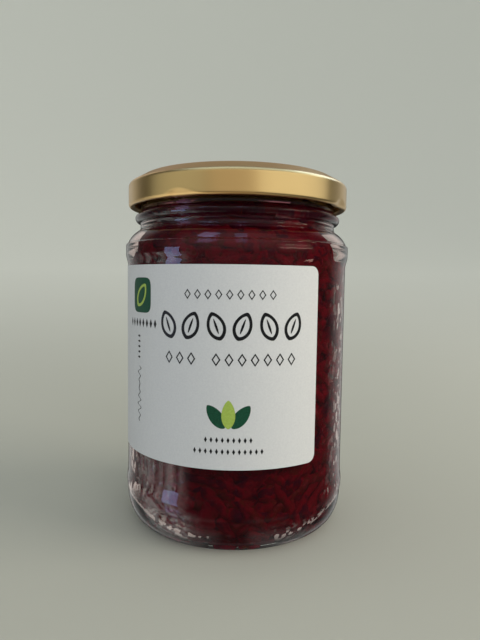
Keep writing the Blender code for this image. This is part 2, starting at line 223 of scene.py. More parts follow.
def shredMaterial():
    # cut red cabbage leaf, steeped in brine: soft, wet, dark wine red with paler ribs and brown ends
    material, shader = newMaterial("steepedCabbageLeaf", {
        "Roughness": 0.4, "IOR": 1.38, "Specular IOR Level": 0.12})
    tint = addNode(material, "ShaderNodeAttribute", {"attribute_name": "tint"})
    place = addNode(material, "ShaderNodeTexCoord")
    steeped = addNode(material, "ShaderNodeTexNoise",
                      {"Scale": patternScale(5 * mm), "Detail": 3.0, "Roughness": 0.6},
                      {"Vector": place.outputs["Object"]})
    fibre = addNode(material, "ShaderNodeTexNoise", {"Scale": patternScale(1.6 * mm), "Detail": 3.0},
                    {"Vector": place.outputs["Object"]})
    # the tint attribute moves each piece along the ramp: random per shred, plus painted shade on the neck's
    # shreds
    share = addNode(material, "ShaderNodeMath", {"operation": "MULTIPLY_ADD", 1: 1.0},
                    {0: steeped.outputs["Fac"], 2: tint.outputs["Fac"]})
    leaf = addNode(material, "ShaderNodeValToRGB", None, {"Fac": share.outputs[0]}, [
        (0.3, "#541438"), (0.42, "#6E1230"), (0.53, "#921432"), (0.63, "#821C30"),
        (0.72, "#6C3626"), (0.84, "#94484E")])
    bump = addNode(material, "ShaderNodeBump", {"Strength": 0.6, "Distance": 0.25 * mm},
                   {"Height": fibre.outputs["Fac"]})
    linkTo(material, shader, {"Base Color": leaf.outputs[0], "Normal": bump.outputs[0]})
    return material


def goldLidMaterial():
    # tinplate under a clear gold lacquer, stamped and rolled: satin, with fine drawing lines up the skirt
    material, shader = newMaterial("goldLacqueredTinplate", {
        "Base Color": linearColour("#E2BE7E"), "Metallic": 1.0, "Roughness": 0.3,
        "Coat Weight": 0.25, "Coat Roughness": 0.18})
    place = addNode(material, "ShaderNodeTexCoord")
    drawn = addNode(material, "ShaderNodeMapping", {"Scale": (1, 1, 0.04)},
                    {"Vector": place.outputs["Object"]})
    lines = addNode(material, "ShaderNodeTexNoise", {"Scale": patternScale(0.8 * mm), "Detail": 2.0},
                    {"Vector": drawn.outputs[0]})
    cloudy = addNode(material, "ShaderNodeTexNoise", {"Scale": patternScale(9 * mm), "Detail": 2.0},
                     {"Vector": place.outputs["Object"]})
    rough = addNode(material, "ShaderNodeMapRange", {"To Min": 0.26, "To Max": 0.37},
                    {"Value": cloudy.outputs["Fac"]})
    bump = addNode(material, "ShaderNodeBump", {"Strength": 0.25, "Distance": 0.02 * mm},
                   {"Height": lines.outputs["Fac"]})
    linkTo(material, shader, {"Roughness": rough.outputs[0], "Normal": bump.outputs[0]})
    return material


def labelPaperMaterial():
    # machine-coated label paper: smooth, white, with a slight sheen and a fine pulp grain
    material, shader = newMaterial("coatedLabelPaper", {"Roughness": 0.55, "Specular IOR Level": 0.4})
    place = addNode(material, "ShaderNodeTexCoord")
    pulp = addNode(material, "ShaderNodeTexNoise", {"Scale": patternScale(0.6 * mm), "Detail": 3.0},
                   {"Vector": place.outputs["Object"]})
    tone = addNode(material, "ShaderNodeValToRGB", None, {"Fac": pulp.outputs["Fac"]},
                   [(0.3, "#CED0D3"), (0.7, "#D5D7D9")])
    bump = addNode(material, "ShaderNodeBump", {"Strength": 0.2, "Distance": 0.02 * mm},
                   {"Height": pulp.outputs["Fac"]})
    linkTo(material, shader, {"Base Color": tone.outputs[0], "Normal": bump.outputs[0]})
    return material


def inkMaterial(name, colour, darker):
    # printing ink on coated paper: flat and even, a shade thinner where the paper's grain shows
    material, shader = newMaterial(name, {"Roughness": 0.5, "Specular IOR Level": 0.4})
    place = addNode(material, "ShaderNodeTexCoord")
    grain = addNode(material, "ShaderNodeTexNoise", {"Scale": patternScale(0.5 * mm), "Detail": 2.0},
                    {"Vector": place.outputs["Object"]})
    tone = addNode(material, "ShaderNodeValToRGB", None, {"Fac": grain.outputs["Fac"]},
                   [(0.35, darker), (0.65, colour)])
    linkTo(material, shader, {"Base Color": tone.outputs[0]})
    return material


def studioMaterial():
    # matt studio card with painted shade: grey near the jar, growing pale far off; mirrored light passes it
    # by
    material, shader = newMaterial("mattStudioCard", {"Roughness": 0.9, "Specular IOR Level": 0.1})
    place = addNode(material, "ShaderNodeTexCoord")
    distance = addNode(material, "ShaderNodeVectorMath", {"operation": "LENGTH"},
                       {0: place.outputs["Object"]})
    share = addNode(material, "ShaderNodeMapRange", {"From Min": 0.1, "From Max": 1.3},
                    {"Value": distance.outputs["Value"]})
    # painted shade: the card's colour darkens towards the jar
    tone = addNode(material, "ShaderNodeValToRGB", None, {"Fac": share.outputs[0]},
                   [(0.0, "#C2C4BC"), (1.0, "#F4F6F0")])
    linkTo(material, shader, {"Base Color": tone.outputs[0]})
    path = addNode(material, "ShaderNodeLightPath")
    clear = addNode(material, "ShaderNodeBsdfTransparent")
    both = addNode(material, "ShaderNodeMixShader", None, {
        0: path.outputs["Glossy Depth"], 1: shader.outputs[0], 2: clear.outputs[0]})
    linkTo(material, material.node_tree.nodes["Material Output"], {"Surface": both.outputs[0]})
    return material


def dress(piece, material):
    piece.data.materials.clear()
    piece.data.materials.append(material)
    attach(piece, "root")


# Glass jar

jar = {
    "steps": 192,
    "wall": 2.4 * mm,
    "bumperRadius": glassHigh.x,
    "panelRadius": glassHigh.x - 0.8 * mm,  # the band that carries the label
    "bumper": (107.3 * mm, 103.4 * mm, 99.0 * mm),  # its top, its foot, and where it fades out
    "bumperEdge": 0.6 * mm,
    "heelBumper": 43.35 * mm,
    "heelBumperZ": (20 * mm, 16 * mm, 15 * mm),  # where it fades in, its top and its foot
    "heel": (7.84 * mm, 11.53 * mm),  # radial and upright size of its curve
    "standingRing": 31.6 * mm,
    "punt": 3.0 * mm,
    "shoulder": (33.8 * mm, 103.8 * mm, 9.9 * mm),  # centre and radius of the shoulder's curve
    "shoulderEndDeg": 21,
    "neck": 38.2 * mm,
    "fillet": 1.6 * mm,
    "bead": (40.15 * mm, 117.3 * mm, 1.5 * mm, 2.0 * mm),  # radius, middle, reach up and down
    "mouth": glassHigh.z,
    "floor": (3.6 * mm, 2.2 * mm),  # lowest inside, and how far its middle rises
    "floorPoints": 8,
    "corner": (5.8 * mm, 9.0 * mm),
    "wave": 0.05 * mm,  # uneven wall thickness, blown glass
    "waveLength": 17 * mm,
}


def fade(start, end, steps):
    # an eased change of radius between two heights, without its first point
    points = []
    for step in range(1, steps + 1):
        share = step / steps
        points.append((start[0] + (end[0] - start[0]) * (1 - math.cos(math.pi * share)) / 2,
                       start[1] + (end[1] - start[1]) * share))
    return points


def neckToShoulder(center, radius, neckRadius, fillet, endDeg, filletSteps, steps):
    # hollow fillet out of the upright neck, then the round shoulder, both tangent
    join = math.acos((neckRadius + fillet - center[0]) / (radius + fillet))
    filletZ = center[1] + (radius + fillet) * math.sin(join)
    joinDeg = math.degrees(join)
    hollow = arc(neckRadius + fillet, filletZ, fillet, fillet, 180, 180 + joinDeg, filletSteps)
    return hollow + arc(*center, radius, radius, joinDeg, endDeg, steps)[1:]


def glassOuterOutline():
    lip = jar["wall"] / 2
    neck, edge = jar["neck"], jar["bumperEdge"]
    beadRadius, beadZ, beadUp, beadDown = jar["bead"]
    centerR, centerZ, shoulderRadius = jar["shoulder"]
    topZ, footZ, fadeZ = jar["bumper"]
    points = arc(neck - lip, jar["mouth"] - lip, lip, lip, 90, 0, 6)
    points += straight((neck, jar["mouth"] - lip), (neck, beadZ + beadUp), 8)
    points += arc(neck, beadZ, beadRadius - neck, beadUp, 90, 0, 8)
    points += arc(neck, beadZ, beadRadius - neck, beadDown, 0, -90, 8)[1:]
    points += neckToShoulder((centerR, centerZ), shoulderRadius, neck, jar["fillet"],
                             jar["shoulderEndDeg"], 6, 10)
    points += arc(jar["bumperRadius"] - edge, topZ - edge, edge, edge, 70, 0, 5)
    points.append((jar["bumperRadius"], footZ))
    points += fade((jar["bumperRadius"], footZ), (jar["panelRadius"], fadeZ), 8)
    points += straight((jar["panelRadius"], fadeZ), (jar["panelRadius"], jar["heelBumperZ"][0]), 30)
    points += fade((jar["panelRadius"], jar["heelBumperZ"][0]), (jar["heelBumper"], jar["heelBumperZ"][1]), 4)
    points += fade((jar["heelBumper"], jar["heelBumperZ"][2]), (jar["panelRadius"], jar["heel"][1]), 4)[:-1]
    points += arc(jar["panelRadius"] - jar["heel"][0], jar["heel"][1], *jar["heel"], 0, -90, 16)
    points += arc(0, 0, jar["standingRing"], jar["punt"], 0, 90, 12)
    return points


def glassInnerOutline():
    # from the middle of the floor out, then up the wall
    inside = jar["panelRadius"] - jar["wall"]
    cornerR = inside - jar["corner"][0]
    floorZ, rise = jar["floor"]
    count = jar["floorPoints"]
    points = [(cornerR * step / count, floorZ + rise * (1 - (step / count) ** 2)) for step in range(count)]
    points += arc(cornerR, floorZ + jar["corner"][1], *jar["corner"], -90, 0, 12)
    radius = jar["shoulder"][2] - jar["wall"] - (jar["bumperRadius"] - jar["panelRadius"]) / 2
    shoulder = neckToShoulder((inside - radius, jar["shoulder"][1]), radius, jar["neck"] - jar["wall"],
                              jar["fillet"] + jar["wall"], 0, 8, 10)
    points += straight(points[-1], shoulder[-1], 40)
    points += shoulder[::-1]
    lip = jar["wall"] / 2
    points += straight(shoulder[0], (jar["neck"] - jar["wall"], jar["mouth"] - lip), 10)
    points += arc(jar["neck"] - lip, jar["mouth"] - lip, lip, lip, 180, 90, 6)[:-1]
    return points


innerOutline = glassInnerOutline()


def innerRadius(height):
    # the inside wall's radius at a height above the corner of the floor
    corner = jar["floorPoints"]
    for (lowR, lowZ), (highR, highZ) in zip(innerOutline[corner:], innerOutline[corner + 1:]):
        if lowZ <= height <= highZ and highZ > lowZ:
            return lowR + (highR - lowR) * (height - lowZ) / (highZ - lowZ)
    return innerOutline[-1][0] if height > jar["floor"][0] else innerOutline[corner][0]


def makeGlass():
    glass = turnOutline("jar_glass", innerOutline + glassOuterOutline(), jar["steps"])
    for vertex in glass.data.vertices:
        radius = math.hypot(vertex.co.x, vertex.co.y)
        if radius < innerRadius(vertex.co.z) + 0.01 * mm and vertex.co.z < jar["mouth"] - 2 * mm:
            push = jar["wave"] * noise.noise(vertex.co / jar["waveLength"])
            vertex.co.x *= 1 + push / max(radius, 5 * mm)
            vertex.co.y *= 1 + push / max(radius, 5 * mm)
    dress(glass, blownGlassMaterial())
    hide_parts("glass_jar")


makeGlass()
print("glass jar made")


# Lid

lid = {
    "steps": 200,
    "sheet": 0.25 * mm,
    "top": lidHigh.z,
    "skirt": 42.7 * mm,
    "bend": 1.75 * mm,  # tight bend from the upright skirt into the slope
    "slope": math.radians(30),
    "slopeLength": 5.0 * mm,
    "crown": 3.0 * mm,  # eases the slope into the flat ring
    "ringInner": 33.4 * mm,
    "step": (1.4 * mm, 0.9 * mm),  # width and depth of the step down to the middle
    "curl": (1.2 * mm, 122.4 * mm),  # radius and middle
    "curlDeg": (0, -235),
    "lugs": 4,
    "lugFirst": math.radians(-28),
    "lugReach": (math.radians(9.5), math.radians(17.5)),  # dent fades fast on one side, slowly on the other
    "lugDepth": 1.2 * mm,
    "lugTop": 124.0 * mm,
}


def lidShoulder(inset, bendSteps, crownSteps):
    # from the flat ring down the crown, the slope and the bend to the upright skirt
    slope, bend, crown = lid["slope"], lid["bend"], lid["crown"]
    slopeDeg = math.degrees(slope)
    bendR = lid["skirt"] - bend
    crownR = bendR + (bend - crown) * math.sin(slope) - lid["slopeLength"] * math.cos(slope)
    bendZ = (lid["top"] - crown * (1 - math.cos(slope)) - lid["slopeLength"] * math.sin(slope)
             - bend * math.cos(slope))
    return (arc(crownR, lid["top"] - crown, crown - inset, crown - inset, 90, 90 - slopeDeg, crownSteps)
            + arc(bendR, bendZ, bend - inset, bend - inset, 90 - slopeDeg, 0, bendSteps))


def lidOutline():
    sheet, top = lid["sheet"], lid["top"]
    curlRadius, curlZ = lid["curl"]
    curlR = lid["skirt"] - curlRadius
    stepWidth, stepDepth = lid["step"]
    panelR, panelZ = lid["ringInner"] - stepWidth, top - stepDepth
    outer = [(0, panelZ), (panelR * 0.5, panelZ)]
    outer += [(panelR + stepWidth * share, panelZ + stepDepth * smoothStep(0, 1, share))
              for share in (0, 0.15, 0.3, 0.4, 0.5, 0.6, 0.7, 0.85, 1)]
    shoulder = lidShoulder(0, 10, 6)
    outer += shoulder
    outer += straight(shoulder[-1], (lid["skirt"], curlZ), 20)
    outer += arc(curlR, curlZ, curlRadius, curlRadius, *lid["curlDeg"], 26)
    inner = arc(curlR, curlZ, curlRadius - sheet, curlRadius - sheet, *lid["curlDeg"][::-1], 20)
    inner += straight((lid["skirt"] - sheet, curlZ + curlRadius), (lid["skirt"] - sheet, shoulder[-1][1]), 4)
    inner += lidShoulder(sheet, 6, 4)[::-1]
    inner += [(lid["ringInner"], top - sheet), (panelR, panelZ - sheet), (0, panelZ - sheet)]
    return outer + inner


def pressLugs(piece):
    # at each lug the foot of the skirt and the curl are pressed in below a wave-shaped crease
    foot = lid["curl"][1] - lid["curl"][0]
    for vertex in piece.data.vertices:
        x, y, z = vertex.co
        angle = math.atan2(x, -y)
        for index in range(lid["lugs"]):
            away = angle - lid["lugFirst"] - 2 * math.pi / lid["lugs"] * index
            away = (away + math.pi) % (2 * math.pi) - math.pi
            swell = 1 - smoothStep(0, 1, abs(away) / lid["lugReach"][away > 0])
            crease = foot + (lid["lugTop"] - foot) * swell
            if z < crease:
                push = lid["lugDepth"] * swell * min(1, (crease - z) / (crease - foot))
                radius = math.hypot(x, y)
                vertex.co.x *= (radius - push) / radius
                vertex.co.y *= (radius - push) / radius


def makeLid():
    piece = turnOutline("twist_lid", lidOutline(), lid["steps"])
    pressLugs(piece)
    dress(piece, goldLidMaterial())
    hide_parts("lid")
    return piece


twistLid = makeLid()
print("lid made")


# Label and its print

label = {
    "radius": jar["panelRadius"] + 0.05 * mm,
    "thickness": 0.16 * mm,
    "top": labelHigh.z,
    "foot": labelLow.z,
    "right": math.radians(41),
    "wrap": math.radians(270),
    "corner": 3.0 * mm,
    "columns": 150,
}


def makeLabel():
    length = label["wrap"] * (label["radius"] + label["thickness"])
    count = label["columns"]
    deselectAll()
    bpy.ops.mesh.primitive_grid_add(x_subdivisions=count, y_subdivisions=6, size=2)
    piece = nameObject("paper_label")
    corner = label["corner"]
    half = length / 2
    middle = (label["top"] + label["foot"]) / 2
    for vertex in piece.data.vertices:
        # columns crowd towards the ends, where the corners are round
        along = half * math.sin(vertex.co.x * math.pi / 2)
        past = max(0, abs(along) - (half - corner))
        drop = corner - math.sqrt(max(0, corner ** 2 - past ** 2))
        height = middle + vertex.co.y * ((label["top"] - label["foot"]) / 2 - drop)
        angle = label["right"] - label["wrap"] / 2 + label["wrap"] / 2 * along / half
        vertex.co = roundJar(label["radius"], angle, height)
    selectPoints(piece, lambda place: True)
    bpy.ops.mesh.normals_make_consistent(inside=False)
    bpy.ops.object.mode_set(mode="OBJECT")
    outwards = sum(face.normal.dot(Vector((face.center.x, face.center.y, 0))) for face in piece.data.polygons)
    if outwards < 0:
        piece.data.flip_normals()
    paper = piece.modifiers.new("paper", "SOLIDIFY")
    paper.thickness = label["thickness"]
    paper.offset = 1
    applyModifiers(piece)
    bpy.ops.object.shade_smooth_by_angle(angle=math.radians(40))
    dress(piece, labelPaperMaterial())
    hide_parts("label")


makeLabel()
print("label made")

ink = {
    "thickness": 0.02 * mm,
    "lift": 0.01 * mm,  # off the paper, for black and green
    "overLift": 0.04 * mm,  # for the pale green, printed over the green
    "cut": 2.0 * mm,  # print is cut this fine before it is bent round
    "center": -1.8 * mm,  # middle of the print, along the label from the front
    "lineTop": {"z": 89.1 * mm, "count": 9, "pitch": 3.6 * mm, "size": (2.4 * mm, 3.4 * mm),
                "stroke": 0.42 * mm},
    "title": {"z": 78.7 * mm, "count": 6, "pitch": 8.8 * mm, "size": (6.2 * mm, 9.8 * mm),
              "stroke": 1.0 * mm, "rib": (0.8 * mm, 5.39 * mm), "lean": math.radians(20)},
    "lineLow": {"z": 67.7 * mm, "groups": (3, 7), "pitch": 4.3 * mm, "size": (3.0 * mm, 4.4 * mm),
                "stroke": 0.55 * mm},
    "emblem": {"sideZ": 48.7 * mm, "middleZ": 49.5 * mm, "size": (4.6 * mm, 9.6 * mm),
               "lean": math.radians(38), "spread": 4.2 * mm},
    "small": [(40.9 * mm, 9, 1.9 * mm), (37.0 * mm, 13, 1.9 * mm)],
    "smallSize": (1.0 * mm, 2.0 * mm),
    "mark": {"x": -38.1 * mm, "z": 88.2 * mm, "size": (11.6 * mm, 12.4 * mm), "leaf": (5.4 * mm, 9.6 * mm),
             "stroke": 0.9 * mm, "lean": math.radians(35)},
    "side": {"x": -38.0 * mm, "z": 78.4 * mm, "count": 8, "pitch": 2.3 * mm, "size": (1.4 * mm, 3.2 * mm)},
    "upright": {"x": -39.8 * mm, "top": 73.6 * mm, "count": 5, "pitch": 1.9 * mm,
                "size": (2.0 * mm, 0.9 * mm)},
    "pen": {"x": -39.6 * mm, "top": 62.5 * mm, "foot": 42.5 * mm, "turns": 7, "half": 1.3 * mm,
            "width": 0.45 * mm},
}


def lozengeForm(angle):
    # a pointed four-sided form, of half size 1 both ways
    return math.cos(angle), math.sin(angle)


def leafForm(angle):
    # a pointed oval with its tips up and down
    height = math.sin(angle)
    return math.copysign(abs(math.cos(angle)) ** 1.35, math.cos(angle)) * (1 - 0.12 * height), height


def cushionForm(angle):
    # a square with well rounded corners
    side = (abs(math.cos(angle)) ** 5 + abs(math.sin(angle)) ** 5) ** (-1 / 5)
    return side * math.cos(angle), side * math.sin(angle)


def flatShape(form, corners, size, stroke=0):
    # a flat shape in the XZ plane: filled, or with a stroke only its outline
    deselectAll()
    bpy.ops.mesh.primitive_circle_add(vertices=corners, radius=1, fill_type="NOTHING" if stroke else "NGON",
                                      rotation=(math.pi / 2, 0, 0))
    bpy.ops.object.transform_apply(location=False, rotation=True, scale=False)
    piece = bpy.context.object
    for vertex in piece.data.vertices:
        across, up = form(math.atan2(vertex.co.z, vertex.co.x))
        vertex.co = (across * size[0] / 2, 0, up * size[1] / 2)
    if stroke:
        bpy.ops.object.mode_set(mode="EDIT")
        bpy.ops.mesh.select_all(action="SELECT")
        bpy.ops.mesh.duplicate()
        # pointed ends take a little more off the height, so that the stroke stays even
        bpy.ops.transform.resize(value=(1 - 2 * stroke / size[0], 1, 1 - 2.6 * stroke / size[1]))
        bpy.ops.mesh.select_all(action="SELECT")
        bpy.ops.mesh.bridge_edge_loops()
        bpy.ops.object.mode_set(mode="OBJECT")
    return piece


def copyAt(template, x, z, lean=0.0):
    piece = template.copy()
    piece.data = template.data.copy()
    bpy.context.scene.collection.objects.link(piece)
    piece.data.transform(Matrix.Translation((x, 0, z)) @ Matrix.Rotation(lean, 4, "Y"))
    return piece


def discard(*pieces):
    for piece in pieces:
        bpy.data.objects.remove(piece, do_unlink=True)


def rowOf(template, center, z, count, pitch):
    first = center - pitch * (count - 1) / 2
    return [copyAt(template, first + pitch * index, z) for index in range(count)]


def bendPrint(pieces, name, material, lift):
    # joins flat shapes, cuts them fine, bends them round the label and gives the ink its thickness
    piece = joinPieces(pieces, name)
    xs = [vertex.co.x for vertex in piece.data.vertices]
    bpy.ops.object.mode_set(mode="EDIT")
    for step in range(math.floor(min(xs) / ink["cut"]) + 1, math.ceil(max(xs) / ink["cut"])):
        bpy.ops.mesh.select_all(action="SELECT")
        bpy.ops.mesh.bisect(plane_co=(step * ink["cut"], 0, 0), plane_no=(1, 0, 0))
    bpy.ops.object.mode_set(mode="OBJECT")
    face = label["radius"] + label["thickness"]
    for vertex in piece.data.vertices:
        vertex.co = roundJar(face + lift, vertex.co.x / face, vertex.co.z)
    for polygon in list(piece.data.polygons):
        if polygon.normal.dot(Vector((polygon.center.x, polygon.center.y, 0))) < 0:
            polygon.flip()
    skin = piece.modifiers.new("ink", "SOLIDIFY")
    skin.thickness = ink["thickness"]
    skin.offset = 1
    applyModifiers(piece)
    dress(piece, material)


def uprightPenLine():
    # a wandering pen stroke down the label, drawn by pulling one short edge along
    pen = ink["pen"]
    deselectAll()
    bpy.ops.mesh.primitive_plane_add(size=pen["width"], rotation=(math.pi / 2, 0, 0))
    bpy.ops.object.transform_apply(location=False, rotation=True, scale=False)
    piece = bpy.context.object
    selectPoints(piece, lambda place: place.z < 0)
    bpy.ops.transform.translate(value=(0, 0, pen["width"] * 0.9))
    steps = pen["turns"] * 6
    last = Vector((0, 0, 0))
    for step in range(1, steps + 1):
        share = step / steps
        swing = pen["half"] * math.sin(2 * math.pi * pen["turns"] * share) * (0.6 + 0.4 * math.cos(9 * share))
        place = Vector((swing, 0, (pen["foot"] - pen["top"]) * share))
        bpy.ops.mesh.extrude_region_move(TRANSFORM_OT_translate={"value": place - last})
        last = place
    bpy.ops.object.mode_set(mode="OBJECT")
    piece.data.transform(Matrix.Translation((pen["x"], 0, pen["top"])))
    return piece


def makePrint():
    center = ink["center"]
    title, emblem, mark = ink["title"], ink["emblem"], ink["mark"]
    black = []
    small = flatShape(lozengeForm, 4, ink["lineTop"]["size"], ink["lineTop"]["stroke"])
    black += rowOf(small, center, ink["lineTop"]["z"], ink["lineTop"]["count"], ink["lineTop"]["pitch"])
    leaf = flatShape(leafForm, 36, title["size"], title["stroke"])
    rib = flatShape(leafForm, 12, title["rib"])
    for index in range(title["count"]):
        x = center + title["pitch"] * (index - (title["count"] - 1) / 2)
        lean = title["lean"] * (1 if index % 2 else -1)
        black += [copyAt(leaf, x, title["z"], lean), copyAt(rib, x, title["z"], lean)]
    low = ink["lineLow"]
    lozenge = flatShape(lozengeForm, 4, low["size"], low["stroke"])
    places = sum(low["groups"]) + 1  # one place is left empty between the groups
    for index in range(places):
        if index != low["groups"][0]:
            black.append(copyAt(lozenge, center + low["pitch"] * (index - (places - 1) / 2), low["z"]))
    dot = flatShape(lozengeForm, 4, ink["smallSize"])
    for z, count, pitch in ink["small"]:
        black += rowOf(dot, center, z, count, pitch)
    side = ink["side"]
    tick = flatShape(lozengeForm, 4, side["size"])
    black += rowOf(tick, side["x"], side["z"], side["count"], side["pitch"])
    upright = ink["upright"]
    dash = flatShape(lozengeForm, 4, upright["size"])
    for index in range(upright["count"]):
        black.append(copyAt(dash, upright["x"], upright["top"] - upright["pitch"] * index))
    black.append(uprightPenLine())
    discard(small, leaf, rib, lozenge, dot, tick, dash)
    bendPrint(black, "print_black", inkMaterial("blackPrintInk", "#1C1D20", "#131417"), ink["lift"])

    blade = flatShape(leafForm, 28, emblem["size"])
    cushion = flatShape(cushionForm, 48, mark["size"])
    green = [copyAt(blade, center - emblem["spread"], emblem["sideZ"], -emblem["lean"]),
             copyAt(blade, center + emblem["spread"], emblem["sideZ"], emblem["lean"]),
             copyAt(cushion, mark["x"], mark["z"])]
    bendPrint(green, "print_green", inkMaterial("greenPrintInk", "#14533A", "#0F4630"), ink["lift"])

    markLeaf = flatShape(leafForm, 28, mark["leaf"], mark["stroke"])
    pale = [copyAt(blade, center, emblem["middleZ"]), copyAt(markLeaf, mark["x"], mark["z"], mark["lean"])]
    bendPrint(pale, "print_pale_green", inkMaterial("limePrintInk", "#A9C25A", "#9CB64E"), ink["overLift"])
    discard(blade, cushion, markLeaf)


makePrint()
print("print made")


# Cabbage: a dark core, shreds pressed against the wall, and the brine round them

cabbage = {
    "seed": 5,
    "forms": 6,  # shred forms, each copied many times
    "cuts": 8,  # lengths that a form is cut into
    "pinch": (0.72, 1.1),  # how its width varies from cut to cut
    "press": (0.8, 1.1),  # and its thickness
    "tip": 0.62,  # share of the width left at its ends
    "layers": [(0.5 * mm, 560), (1.0 * mm, 560)],  # depth from the wall, and how many
    "turn": 2.39996,  # golden angle from one shred to the next, radians
    "turnSlack": 0.2,
    "band": (4.5 * mm, 119.5 * mm),  # lowest and highest that shreds lie
    "length": (9 * mm, 24 * mm),
    "width": (3.0 * mm, 7.0 * mm),
    "thickness": (0.35 * mm, 0.6 * mm),
    "slopeDeg": 62,
    "bend": 16,  # sideways curve, per metre
    "twist": 0.35,
    "ripple": 0.3 * mm,
    "waves": (0.6, 1.6),  # ripples along a shred
    "clear": 0.2 * mm,  # least distance from the wall
    "nearby": 1.5 * mm,  # the wall is kept clear this far up and down
    "tint": (-0.12, 0.22),
    "neckPaintedShade": 0.3,  # painted shade: the neck's shreds are this much darker, as if in the lid's shadow
    # heights over which the neck's painted shade fades in
    "neckShadeZ": (108 * mm, 115 * mm),
}

gap = {
    "depth": 1.2 * mm,  # how far the contents draw back at the shoulder's sides
    "startDeg": (54, 48),  # where it begins, left and right of the front
    "forwardDeg": 12,  # it begins this much further forward at its head
    "forwardZ": (106 * mm, 114 * mm),
    "unevenDeg": 6,
    "unevenSize": 6 * mm,
    "fadeDeg": 14,
    "foot": (100 * mm, 107 * mm),
    "head": (114 * mm, 117 * mm),
}


def shoulderGap(place):
    # opens further forward the higher it is, and more on the right
    azimuth = math.degrees(math.atan2(place.x, -place.y))
    start = gap["startDeg"][azimuth > 0] - gap["forwardDeg"] * smoothStep(*gap["forwardZ"], place.z)
    start += gap["unevenDeg"] * noise.noise(place / gap["unevenSize"])
    band = smoothStep(*gap["foot"], place.z) * (1 - smoothStep(*gap["head"], place.z))
    return gap["depth"] * band * smoothStep(start, start + gap["fadeDeg"], abs(azimuth))


def shredTemplates(rng):
    # a leaf strip of unit size: a flattened six-sided bar, cut along its length and pinched unevenly
    templates = []
    cuts = cabbage["cuts"]
    for index in range(cabbage["forms"]):
        deselectAll()
        bpy.ops.mesh.primitive_cylinder_add(vertices=6, radius=0.5, depth=1, rotation=(0, math.pi / 2, 0))
        bpy.ops.object.transform_apply(location=False, rotation=True, scale=False)
        piece = nameObject("shred_form")
        bpy.ops.object.mode_set(mode="EDIT")
        for cut in range(1, cuts):
            bpy.ops.mesh.select_all(action="SELECT")
            bpy.ops.mesh.bisect(plane_co=(cut / cuts - 0.5, 0, 0), plane_no=(1, 0, 0))
        for cut in range(cuts + 1):
            at = cut / cuts - 0.5
            selectPoints(piece, lambda place: abs(place.x - at) < 0.01)
            pinch = rng.uniform(*cabbage["pinch"]) * (cabbage["tip"] if cut in (0, cuts) else 1)
            bpy.ops.transform.resize(value=(1, rng.uniform(*cabbage["press"]), pinch))
        bpy.ops.object.mode_set(mode="OBJECT")
        bpy.ops.object.shade_smooth()
        piece.data.attributes.new("tint", "FLOAT", "POINT")
        templates.append(piece)
    return templates


def layShred(template, rng, depth, height, angle):
    length, width = rng.uniform(*cabbage["length"]), rng.uniform(*cabbage["width"])
    thickness = rng.uniform(*cabbage["thickness"])
    low, high = cabbage["band"]
    room = min(height - low, high - height)
    slope = math.radians(rng.uniform(-1, 1) * cabbage["slopeDeg"])
    slope = math.copysign(min(abs(slope), math.asin(min(1, 2 * room / length))), slope)
    bend = rng.uniform(-1, 1) * cabbage["bend"]
    ripple, phase = rng.uniform(0.3, 1) * cabbage["ripple"], rng.uniform(0, 6.28)
    waves = rng.uniform(*cabbage["waves"]) * 2 * math.pi
    twist = rng.uniform(-cabbage["twist"], cabbage["twist"])
    # shreds in the neck get painted shade, darker towards the lid
    tint = rng.uniform(*cabbage["tint"]) - cabbage["neckPaintedShade"] * smoothStep(*cabbage["neckShadeZ"], height)
    sine, cosine = math.sin(slope), math.cos(slope)
    wall, nearby = jar["panelRadius"] - jar["wall"], cabbage["nearby"]
    piece = template.copy()
    piece.data = template.data.copy()
    bpy.context.scene.collection.objects.link(piece)
    for vertex in piece.data.vertices:
        along, out, across = vertex.co.x * length, vertex.co.y * thickness, vertex.co.z * width
        out += twist * across * vertex.co.x * 2
        across += bend * along * along
        up = height + along * sine + across * cosine
        side = along * cosine - across * sine
        near = min(innerRadius(up), innerRadius(up + nearby), innerRadius(up - nearby))
        place = roundJar(near, angle + side / wall, up)
        radius = near - depth + out + ripple * math.sin(vertex.co.x * waves + phase)
        radius = min(radius, near - cabbage["clear"]) - shoulderGap(place)
        vertex.co = roundJar(radius, angle + side / wall, up)
    for value in piece.data.attributes["tint"].data:
        value.value = tint
    return piece


def makeShreds():
    rng = random.Random(cabbage["seed"])
    templates = shredTemplates(rng)
    laid = []
    low, high = cabbage["band"]
    for depth, count in cabbage["layers"]:
        for index in range(count):
            height = low + (high - low) * (index + rng.uniform(0, 1)) / count
            angle = index * cabbage["turn"] + rng.uniform(-cabbage["turnSlack"], cabbage["turnSlack"])
            laid.append(layShred(templates[index % len(templates)], rng, depth, height, angle))
    discard(*templates)
    shreds = joinPieces(laid, "cabbage_shreds")
    dress(shreds, shredMaterial())
    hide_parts("red_cabbage")


pocket = {
    "size": 1.7 * mm,
    "depth": 0.5 * mm,
    "heel": (8 * mm, 15 * mm),  # the heel's pockets fade out between these heights
    "tall": (2.4, 0.7),  # height by width, on the wall and at the heel
    "heelSize": 1.15,  # and how much wider they are at the heel
    "fine": (2.3, 0.5),  # a finer pattern on top: how fine, how strong
    "rare": 0.62,  # how high the pattern has to be for a pocket
    "fade": 0.3,
    "sidesDeg": (36, 60),  # where each stretch with more pockets begins and is full
    "sidesMore": 0.5,
    "cornersDeg": (8, 28),
    "cornersMore": 0.58,
    "frontShare": 0.25,  # the heel's front has this share of its corners' rise
    "leftDeg": (20, 35),
    "leftZ": (24 * mm, 34 * mm),
    "leftMore": 0.22,
    "upperZ": (92 * mm, 98 * mm),  # above the label there are hardly any
    "upperLess": 0.6,
}


